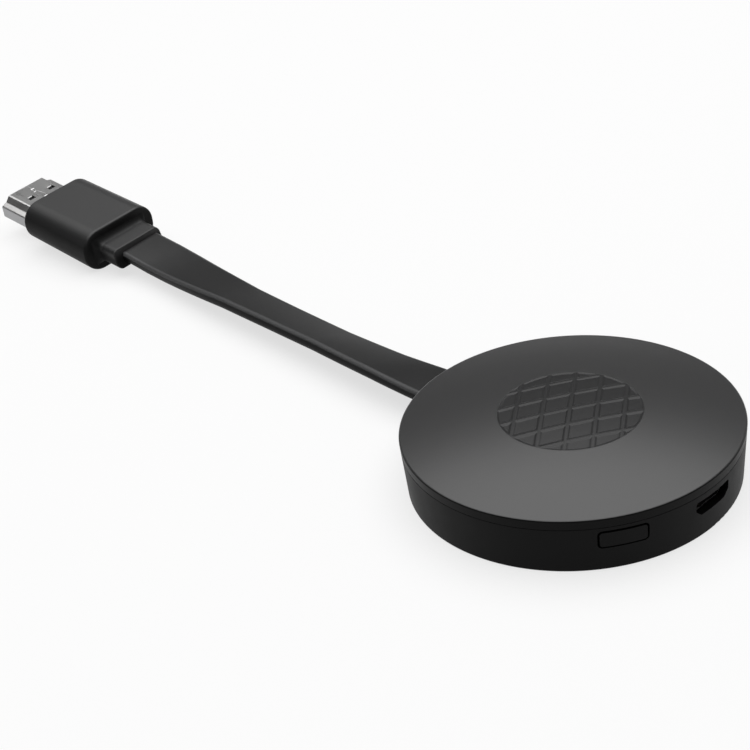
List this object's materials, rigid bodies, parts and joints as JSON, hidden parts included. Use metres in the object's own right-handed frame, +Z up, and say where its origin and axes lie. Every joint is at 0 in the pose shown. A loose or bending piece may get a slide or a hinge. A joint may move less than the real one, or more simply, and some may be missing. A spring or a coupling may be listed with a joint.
{
  "type": "wireless display dongle",
  "caption": "Round puck-shaped wireless display receiver with a crowned cover, side button and power socket, on a short flat cable that ends in a video plug.",
  "frame": {"origin": "centre of the puck's flat base, on the surface that it lies on", "axes": "+Z up through the cover, +Y towards the cable and plug, power socket facing -Y"},
  "size_m": [0.0564, 0.1914, 0.0124],
  "materials": {
    "cover_plastic": "fine satin texture",
    "side_plastic": "fine satin texture",
    "button_plastic": "satin",
    "plug_plastic": "fine matt texture",
    "cable_rubber": "satin jacket",
    "plug_steel": "bright nickel plate",
    "socket_steel": "plain plate",
    "lid_steel": "plain plate",
    "screw_steel": "dark zinc",
    "sink_aluminium": "plain extrusion",
    "board_green": "solder mask",
    "chip_black": "moulded",
    "pad_grey": "soft silicone",
    "ceramic_white": "glazed",
    "ceramic_tan": "fired",
    "coil_grey": "pressed powder",
    "insulator_black": "moulded",
    "contact_gold": "thin gold plate",
    "core_plastic": "thin insulation",
    "mould_white": "soft inner mould"
  },
  "bodies": {
    "dongle": {"base_shell": "side_plastic", "top_cover": "cover_plastic", "main_board": "board_green", "board_screws": "screw_steel", "processor": "chip_black", "thermal_pad": "pad_grey", "heat_sink": "sink_aluminium", "memory_chip": "chip_black", "flash_chip": "chip_black", "power_chip": "chip_black", "crystal": "lid_steel", "chip_antenna": "ceramic_white", "power_coils": "coil_grey", "capacitors": "ceramic_tan", "radio_board": "board_green", "radio_shield": "lid_steel", "socket_shell": "socket_steel", "socket_tongue": "insulator_black", "socket_contacts": "contact_gold", "switch_housing": "insulator_black", "switch_plate": "lid_steel", "cable_grip": "cable_rubber", "cable_cores": "core_plastic", "flat_cable": "cable_rubber", "strain_relief": "plug_plastic", "plug_overmould": "plug_plastic", "video_shell": "plug_steel", "video_insulator": "insulator_black", "video_contacts": "contact_gold", "plug_board": "board_green", "plug_leads": "core_plastic", "inner_mould": "mould_white"},
    "button": {"button_cap": "button_plastic", "switch_plunger": "insulator_black"}
  },
  "joints": [
    {"name": "button_press", "type": "slide", "parent": "dongle", "child": "button", "axis": [0.5736, 0.8192, 0], "range_m": [0, 0.0004], "stiffness_N_per_m": 4000}
  ]
}
